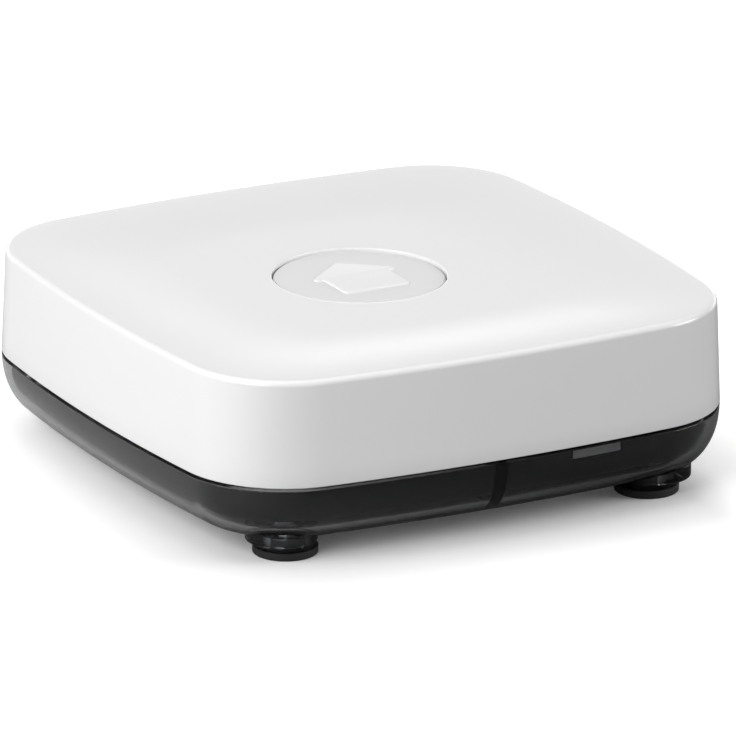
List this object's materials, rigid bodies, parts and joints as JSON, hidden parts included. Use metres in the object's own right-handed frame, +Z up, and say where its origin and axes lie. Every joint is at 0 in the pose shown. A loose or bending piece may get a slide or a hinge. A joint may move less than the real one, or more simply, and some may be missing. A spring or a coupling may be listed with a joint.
{
  "type": "smart home hub",
  "caption": "Square white smart home hub on a smoked tray and rubber feet, with a round press button on top and sockets at the back.",
  "frame": {"origin": "middle of the hub, on the surface that its feet stand on", "axes": "+Z up, front towards -Y, sockets towards +Y"},
  "size_m": [0.12, 0.12, 0.0385],
  "materials": {
    "white_gloss": "polished white ABS, lightly tumbled edges",
    "white_satin": "satin white, faintly translucent",
    "smoke": "polished smoked polycarbonate, see-through where it is thin",
    "black_plastic": "fine-grained black ABS",
    "socket_plastic": "black glass-filled nylon",
    "carrier_plastic": "plain moulded light grey",
    "clear_guide": "clear acrylic",
    "foot_rubber": "matt black rubber",
    "zinc_steel": "bright zinc plated",
    "spring_steel": "drawn wire",
    "brass": "turned and knurled",
    "gold": "gold plated",
    "label_foil": "brushed blank foil",
    "flex_grey": "coated flexible strip",
    "board_green": "solder mask over glass fibre",
    "board_blue": "solder mask over glass fibre",
    "chip_black": "moulded epoxy",
    "gap_pad": "soft silicone pad",
    "tin_can": "tin plated sheet",
    "cast_fins": "extruded, bead blasted",
    "led_lens": "clear resin over phosphor",
    "tan_plastic": "moulded nylon",
    "ferrite": "pressed ferrite",
    "grey_plastic": "plain moulded",
    "capacitor_can": "drawn can"
  },
  "bodies": {
    "case": {"top_cover": "white_gloss", "button_spring": "spring_steel", "button_carrier": "carrier_plastic", "carrier_screws": "zinc_steel", "light_guide": "clear_guide", "smoked_base": "smoke", "inner_chassis": "black_plastic", "rubber_feet": "foot_rubber", "case_screws": "zinc_steel", "cover_inserts": "brass", "rating_plate": "label_foil", "antenna_strip": "flex_grey", "port_plate": "black_plastic", "main_board": "board_green", "board_screws": "zinc_steel", "status_leds": "led_lens", "pairing_switch": "socket_plastic", "processor": "chip_black", "thermal_pad": "gap_pad", "heat_sink": "cast_fins", "memory_chips": "chip_black", "mesh_radio_board": "board_blue", "mesh_radio_shield": "tin_can", "sub_radio_board": "board_blue", "sub_radio_shield": "tin_can", "coil_antenna": "gold", "network_jack": "socket_plastic", "network_shield": "tin_can", "network_contacts": "gold", "network_transformer": "chip_black", "data_port_shell": "tin_can", "data_port_tongue": "socket_plastic", "power_jack": "socket_plastic", "power_pin": "zinc_steel", "reset_switch": "socket_plastic", "capacitors": "capacitor_can", "power_inductor": "ferrite", "power_regulators": "chip_black", "crystal": "tin_can"},
    "pairing_button": {"button_cap": "white_satin", "pairing_plunger": "tan_plastic"},
    "reset_pin": {"reset_button": "grey_plastic", "reset_plunger": "tan_plastic"}
  },
  "joints": [
    {"name": "button_press", "type": "slide", "parent": "case", "child": "pairing_button", "axis": [0, 0, -1], "range_m": [0, 0.0008], "stiffness_N_per_m": 2500, "springref_m": -0.0004, "deforming": ["button_spring"]},
    {"name": "reset_press", "type": "slide", "parent": "case", "child": "reset_pin", "axis": [0, -1, 0], "range_m": [0, 0.0006], "stiffness_N_per_m": 2500, "springref_m": -0.0003}
  ]
}
